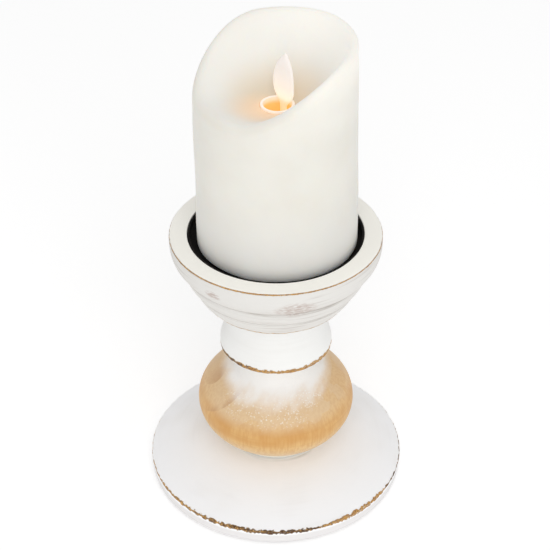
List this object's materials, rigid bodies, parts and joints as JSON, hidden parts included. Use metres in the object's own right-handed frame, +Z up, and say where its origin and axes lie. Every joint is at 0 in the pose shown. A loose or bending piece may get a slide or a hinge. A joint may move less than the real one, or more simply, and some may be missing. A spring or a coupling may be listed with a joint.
{
  "type": "wooden candlestick",
  "caption": "Turned wooden pillar candlestick with a wide base, ball stem and stepped cup, holding a wax battery candle with a swinging flame.",
  "frame": {"origin": "on the floor under the middle of the base", "axes": "+Z up along the turning axis; -Y is the side facing the viewer; the candle's low lip faces 51 degrees from -Y towards -X"},
  "size_m": [0.1316, 0.1316, 0.2479],
  "materials": {
    "white_paint": "chalky white paint over turned wood, worn through on the edges",
    "bare_wood": "oiled turned wood with a worn whitewash",
    "felt": "pressed wool felt",
    "zinc_steel": "zinc plated",
    "black_pan": "matt black enamel on pressed steel",
    "wax": "real ivory wax over a plastic core",
    "white_plastic": "moulded",
    "flame_plastic": "frosted, lit from below",
    "magnet": "nickel plated magnet",
    "black_plastic": "moulded",
    "copper": "enamelled copper wire",
    "lamp": "clear amber epoxy",
    "board": "green solder mask",
    "board_part": "moulded epoxy",
    "lead": "insulated lead",
    "spring_steel": "nickel plated",
    "cell_jacket": "printed film over steel can, plain"
  },
  "bodies": {
    "candlestick": {"felt_pad": "felt", "base_disc": "white_paint", "foot_ring": "white_paint", "ball": "bare_wood", "collar": "white_paint", "cup": "white_paint", "tie_rod": "zinc_steel", "rod_washers": "zinc_steel", "rod_nuts": "zinc_steel", "drip_pan": "black_pan"},
    "candle": {"wax_shell": "wax", "core_housing": "white_plastic", "flame_tube": "white_plastic", "flame_cradle": "white_plastic", "pivot_wire": "spring_steel", "coil_bobbin": "black_plastic", "coil_winding": "copper", "led_lamp": "lamp", "circuit_board": "board", "board_parts": "board_part", "hookup_wires": "lead", "switch_body": "black_plastic", "battery_tube": "white_plastic", "top_contacts": "spring_steel", "top_spring": "spring_steel", "cell_a": "cell_jacket", "cell_b": "cell_jacket", "base_housing": "white_plastic", "housing_screws": "zinc_steel"},
    "flame": {"flame": "flame_plastic", "flame_magnet": "magnet"},
    "switch": {"switch_knob": "black_plastic"},
    "battery_cover": {"battery_cover": "white_plastic", "cover_contact": "spring_steel", "cover_spring": "spring_steel"}
  },
  "joints": [
    {"name": "candle_lift", "type": "slide", "parent": "candlestick", "child": "candle", "axis": [0, 0, 1], "range_m": [0, 0.06]},
    {"name": "flame_swing", "type": "hinge", "parent": "candle", "child": "flame", "pos_m": [0.00347, 0.0022, 0.1999], "axis": [0.6293, -0.7771, 0], "range_deg": [-5, 5]},
    {"name": "switch_slide", "type": "slide", "parent": "candle", "child": "switch", "axis": [0.7771, 0.6293, 0], "range_m": [0, 0.004]},
    {"name": "battery_cover_twist", "type": "hinge", "parent": "candle", "child": "battery_cover", "pos_m": [0.01019, -0.01166, 0.1439], "axis": [0, 0, 1], "range_deg": [0, 20]}
  ]
}
